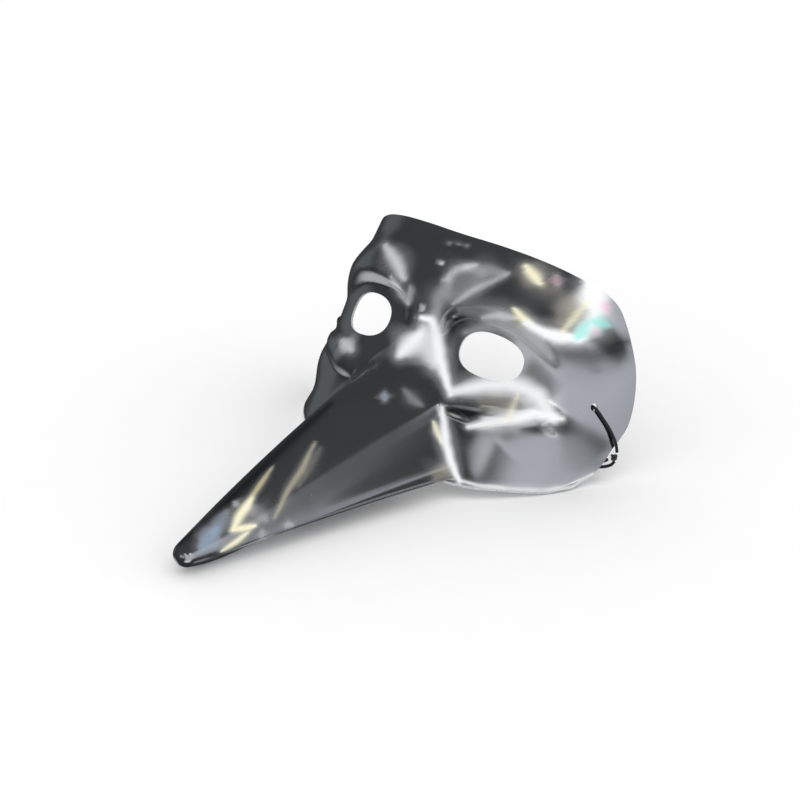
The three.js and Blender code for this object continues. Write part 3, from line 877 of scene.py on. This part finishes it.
def studio_world():
    """A white room for the camera and the shadows, and soft cards in the dark for the silver."""
    card_group()
    world = bpy.data.worlds.new("studio")
    world.use_nodes = True
    tree = world.node_tree
    direction = add_node(tree, "ShaderNodeTexCoord").outputs["Generated"]
    split = add_node(tree, "ShaderNodeSeparateXYZ", {"Vector": direction}).outputs
    forward = calculate(tree, "MULTIPLY", split["Y"], -1.0)
    azimuth = calculate(tree, "DEGREES", calculate(tree, "ARCTAN2", split["X"], forward))
    elevation = calculate(tree, "DEGREES", calculate(tree, "ARCSINE", split["Z"]))
    light = ROOM_LIGHT
    for around, up, half_width, half_height, softness, colour in CARDS.values():
        seen = use_group(tree, "studio card", {
            "Azimuth": azimuth, "Elevation": elevation,
            "Middle azimuth": around, "Middle elevation": up,
            "Half width": half_width, "Half height": half_height, "Softness": softness})["Seen"]
        light = blended(tree, seen, light, colour)
    mirrored = add_node(tree, "ShaderNodeLightPath").outputs["Is Glossy Ray"]
    give(tree, tree.nodes["Background"].inputs["Color"], blended(tree, mirrored, WHITE_LIGHT, light))
    bpy.context.scene.world = world


def shown(piece):
    """Ties a finished piece to the mask's one body."""
    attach(piece, "root")
    return piece


def choose(piece):
    """Makes a piece the only one that is selected and active."""
    bpy.ops.object.select_all(action="DESELECT")
    piece.select_set(True)
    bpy.context.view_layer.objects.active = piece


def select_parts(mesh, vertices=None, faces=None):
    """Selects some vertices or faces of a mesh and nothing else."""
    for parts, chosen in ((mesh.vertices, vertices), (mesh.edges, None), (mesh.polygons, faces)):
        wanted = np.zeros(len(parts), bool) if chosen is None else chosen
        parts.foreach_set("select", wanted)


def edit(piece, mode, *steps):
    """Runs edit-mode steps on a piece with vertices, edges or faces as the thing selected."""
    choose(piece)
    bpy.ops.object.mode_set(mode="EDIT")
    bpy.ops.mesh.select_mode(type=mode)
    for step in steps:
        step()
    bpy.ops.object.mode_set(mode="OBJECT")


class MASK_OT_camera(bpy.types.Operator):
    """Puts the camera where the mask is looked at from its left front"""
    bl_idname = "mask.camera"
    bl_label = "Camera"

    def execute(self, context):
        right, up, back = camera_axes()
        bpy.ops.object.camera_add()
        camera = context.object
        camera.name = "camera"
        axes = Matrix((right, up, back)).transposed()
        place = Matrix.Translation(CAMERA_TARGET + back * CAMERA_DISTANCE)
        camera.matrix_world = place @ axes.to_4x4()
        camera.data.lens = CAMERA_LENS
        camera.data.sensor_width = CAMERA_SENSOR
        context.scene.camera = camera
        return {"FINISHED"}


class MASK_OT_elastic(bpy.types.Operator):
    """Lays the elastic: a loop through each temple hole, and a slack run between the knots"""
    bl_idname = "mask.elastic"
    bl_label = "Elastic"

    def beside(self, sizes, end, route):
        """Places of a route near the left temple, for end 1, or the right one, for end -1."""
        side, height, gap = np.array(route).T
        return lie_down(face_places(sizes, end * side, height, gap))

    def strand(self, name, points, diameter):
        """A length of elastic that follows the points."""
        curve = bpy.data.curves.new(name, "CURVE")
        curve.dimensions = "3D"
        curve.bevel_depth = diameter / 2
        curve.bevel_resolution = 5
        curve.resolution_u = 8
        curve.use_fill_caps = True
        spline = curve.splines.new("BEZIER")
        spline.bezier_points.add(len(points) - 1)
        for knot, point in zip(spline.bezier_points, points):
            knot.co = point
            knot.handle_left_type = knot.handle_right_type = "AUTO"
        piece = bpy.data.objects.new(name, curve)
        bpy.context.collection.objects.link(piece)
        piece.data.materials.append(bpy.data.materials["black_elastic"])
        return shown(piece)

    def execute(self, context):
        sizes = context.scene.mask_sizes
        elastic = context.scene.elastic_sizes
        radius = elastic.diameter / 2
        for label, end in (("left", 1), ("right", -1)):
            route = self.beside(sizes, end, LOOP_ROUTE)
            loop = self.strand("temple_loop_" + label, route, elastic.diameter)
            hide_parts("elastic_loop_" + label)
        floor = [(x, y, rise + radius + CLEAR_OF_GROUND) for x, y, rise in FLOOR_ROUTE]
        down = self.beside(sizes, 1, DROP_ROUTE)
        up = self.beside(sizes, -1, DROP_ROUTE)[::-1]
        route = np.concatenate([down, floor, up])
        run = self.strand("slack_elastic", route, elastic.diameter)
        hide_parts("elastic_cord")
        return {"FINISHED"}


class MASK_OT_knots(bpy.types.Operator):
    """Ties a small knot at each end of the slack elastic"""
    bl_idname = "mask.knots"
    bl_label = "Knots"

    def execute(self, context):
        sizes = context.scene.mask_sizes
        size = context.scene.elastic_sizes.knot_radius
        thickness = KNOT_THICKNESS * size
        elastic = woven_elastic(context.scene.mask_colours)
        for label, end in (("left", 1), ("right", -1)):
            side, height, gap = KNOT_PLACE
            middle = lie_down(face_places(sizes, end * side, height, gap))
            bpy.ops.object.select_all(action="DESELECT")
            bpy.ops.mesh.primitive_torus_add(
                major_segments=96, minor_segments=12, major_radius=size, minor_radius=thickness)
            knot = context.object
            knot.name = "tied_knot_" + label
            knot.data.materials.append(elastic)
            self.tie(knot.data, size, thickness, end)
            knot.data.transform(Matrix.Translation(Vector(middle)))
            edit(knot, "VERT",
                 lambda: bpy.ops.mesh.select_all(action="SELECT"),
                 lambda: bpy.ops.mesh.normals_make_consistent(inside=False))
            bpy.ops.object.shade_smooth()
            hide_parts("knot_" + label)
            shown(knot)
        return {"FINISHED"}

    def tie(self, mesh, size, thickness, end):
        """Leads the ring's middle line along an overhand knot, drawn tight."""
        reach = (size - thickness) / KNOT_REACH
        for vertex in mesh.vertices:
            x, y, z = vertex.co
            turn = math.atan2(y, x)
            outward = math.hypot(x, y) - size
            place, ahead = (self.on_knot(turn + step) for step in (0, KNOT_STEP))
            along_it = (ahead - place).normalized()
            level = along_it.cross(Vector((0, 0, 1))).normalized()
            upright = level.cross(along_it)
            where = place * reach + level * outward + upright * z
            vertex.co = Vector((end * where.x, where.z, where.y))

    def on_knot(self, turn):
        """A place on the middle line of an overhand knot."""
        return Vector((
            math.sin(turn) + 2 * math.sin(2 * turn),
            math.cos(turn) - 2 * math.cos(2 * turn),
            -KNOT_DEPTH * math.sin(3 * turn)))


class MASK_OT_sheet(bpy.types.Operator):
    """Forms the sheet of the mask from one grid, cuts its holes and gives it its wall"""
    bl_idname = "mask.sheet"
    bl_label = "Mask sheet"

    def execute(self, context):
        sizes = context.scene.mask_sizes
        places, on_outline, inside = sheet_places(sizes)
        rows = places.shape[1] - 1
        bpy.ops.object.select_all(action="DESELECT")
        bpy.ops.mesh.primitive_grid_add(x_subdivisions=MERIDIANS, y_subdivisions=rows, size=2)
        piece = context.object
        piece.name = "mask_sheet"
        self.form(piece, places, on_outline, inside)
        self.thicken(piece, sizes.wall)
        self.drill(context, piece, sizes)
        self.settle(piece.data)
        self.mark(piece.data)
        choose(piece)
        bpy.ops.object.shade_smooth_by_angle(angle=SMOOTH_BELOW)
        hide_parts("mask_shell")
        shown(piece)
        return {"FINISHED"}

    def form(self, piece, places, on_outline, inside):
        """Moves the grid's vertices onto the surface, opens the eyes and closes the seam."""
        mesh = piece.data
        flat = np.empty(3 * len(mesh.vertices))
        mesh.vertices.foreach_get("co", flat)
        flat = (flat.reshape(-1, 3) + 1) / 2
        meridian = np.rint(flat[:, 0] * MERIDIANS).astype(int)
        row = np.rint(flat[:, 1] * (places.shape[1] - 1)).astype(int)
        mesh.vertices.foreach_set("co", lie_down(places[meridian, row]).ravel())
        select_parts(mesh, vertices=on_outline[meridian, row])
        edit(piece, "VERT", bpy.ops.mesh.vert_connect)
        in_hole = inside[meridian, row]
        gone = [all(in_hole[list(face.vertices)]) for face in mesh.polygons]
        select_parts(mesh, faces=np.array(gone))
        edit(piece, "FACE", lambda: bpy.ops.mesh.delete(type="FACE"))
        edit(piece, "VERT",
             lambda: bpy.ops.mesh.select_all(action="SELECT"),
             lambda: bpy.ops.mesh.remove_doubles(threshold=SAME_PLACE),
             lambda: bpy.ops.mesh.normals_make_consistent(inside=False))

    def thicken(self, piece, thickness):
        """Gives the sheet its wall on the inside, with an inner skin and a cut edge."""
        handled_sheet_group()
        colours = bpy.context.scene.mask_colours
        for material in (silver_skin(colours), silver_inside(colours), cut_plastic(colours)):
            piece.data.materials.append(material)
        before = np.array(piece.bound_box)
        wall = piece.modifiers.new("wall", "SOLIDIFY")
        wall.thickness = thickness
        wall.offset = -1
        wall.material_offset = INNER_SLOT
        wall.material_offset_rim = CUT_SLOT
        choose(piece)
        bpy.ops.object.modifier_apply(modifier=wall.name)
        after = np.array(piece.bound_box)
        if after[:, 0].max() > before[:, 0].max() + thickness / 5:
            raise RuntimeError("the wall went outwards, so the sheet's faces point inwards")

    def drill(self, context, piece, sizes):
        """Drills a small hole for the elastic at each temple."""
        depth = DRILL_WALLS * sizes.wall
        for end in (1, -1):
            side = end * TEMPLE_SIDE
            middle, outside = (
                lie_down(face_places(sizes, side, TEMPLE_HEIGHT, gap)) for gap in (0, depth / 2))
            direction = Vector(outside - middle).normalized()
            bpy.ops.object.select_all(action="DESELECT")
            bpy.ops.mesh.primitive_cylinder_add(
                vertices=32, radius=TEMPLE_RADIUS, depth=depth, location=middle,
                rotation=direction.to_track_quat("Z", "Y").to_euler())
            drill = context.object
            for slot in piece.material_slots:
                drill.data.materials.append(slot.material)
            drill.data.polygons.foreach_set("material_index", [CUT_SLOT] * len(drill.data.polygons))
            hole = piece.modifiers.new("hole", "BOOLEAN")
            hole.operation = "DIFFERENCE"
            hole.solver = "EXACT"
            hole.object = drill
            choose(piece)
            bpy.ops.object.modifier_apply(modifier=hole.name)
            bpy.data.objects.remove(drill)

    def settle(self, mesh):
        """Wears flat what would reach below the ground."""
        for vertex in mesh.vertices:
            vertex.co.z = max(vertex.co.z, 0)

    def mark(self, mesh):
        """Lays the painted highlights, reflections and shade on the sheet, as attributes of its
        vertices.
        """
        places = np.empty(3 * len(mesh.vertices))
        mesh.vertices.foreach_get("co", places)
        painted_reflection, shade = painted_light_on(places.reshape(-1, 3))
        mesh.attributes.new("painted_reflection", "FLOAT_COLOR", "POINT").data.foreach_set("color", painted_reflection.ravel())
        mesh.attributes.new("shade", "FLOAT", "POINT").data.foreach_set("value", shade)


class MASK_OT_stage(bpy.types.Operator):
    """Lays the pale floor and sets up the studio's light"""
    bl_idname = "mask.stage"
    bl_label = "Stage"

    def execute(self, context):
        bpy.ops.object.select_all(action="DESELECT")
        bpy.ops.mesh.primitive_plane_add(size=FLOOR_SIZE, location=(0, 0, -FLOOR_DROP))
        floor = context.object
        floor.name = "floor"
        floor.data.materials.append(pale_floor(context.scene.mask_colours))
        floor.visible_glossy = False
        studio_world()
        context.scene.view_settings.view_transform = "Standard"
        return {"FINISHED"}


class MASK_PT_panel(bpy.types.Panel):
    bl_label = "Long-beaked mask"
    bl_idname = "MASK_PT_panel"
    bl_space_type = "VIEW_3D"
    bl_region_type = "UI"
    bl_category = "Mask"

    def draw(self, context):
        scene = context.scene
        for group in (scene.mask_sizes, scene.elastic_sizes, scene.mask_colours):
            column = self.layout.column(align=True)
            for name in group.__annotations__:
                column.prop(group, name)
        for operator in OPERATORS:
            self.layout.operator(operator.bl_idname)


OPERATORS = (MASK_OT_camera, MASK_OT_knots, MASK_OT_elastic, MASK_OT_sheet, MASK_OT_stage)
CLASSES = (MaskSizes, ElasticSizes, MaskColours, *OPERATORS, MASK_PT_panel)


def register():
    for cls in CLASSES:
        bpy.utils.register_class(cls)
    bpy.types.Scene.mask_sizes = PointerProperty(type=MaskSizes)
    bpy.types.Scene.elastic_sizes = PointerProperty(type=ElasticSizes)
    bpy.types.Scene.mask_colours = PointerProperty(type=MaskColours)


def unregister():
    del bpy.types.Scene.mask_sizes
    del bpy.types.Scene.elastic_sizes
    del bpy.types.Scene.mask_colours
    for cls in reversed(CLASSES):
        bpy.utils.unregister_class(cls)


def main():
    register()
    bpy.ops.mask.camera()
    bpy.ops.mask.knots()
    bpy.ops.mask.elastic()
    bpy.ops.mask.sheet()
    bpy.ops.mask.stage()


if __name__ == "__main__":
    main()
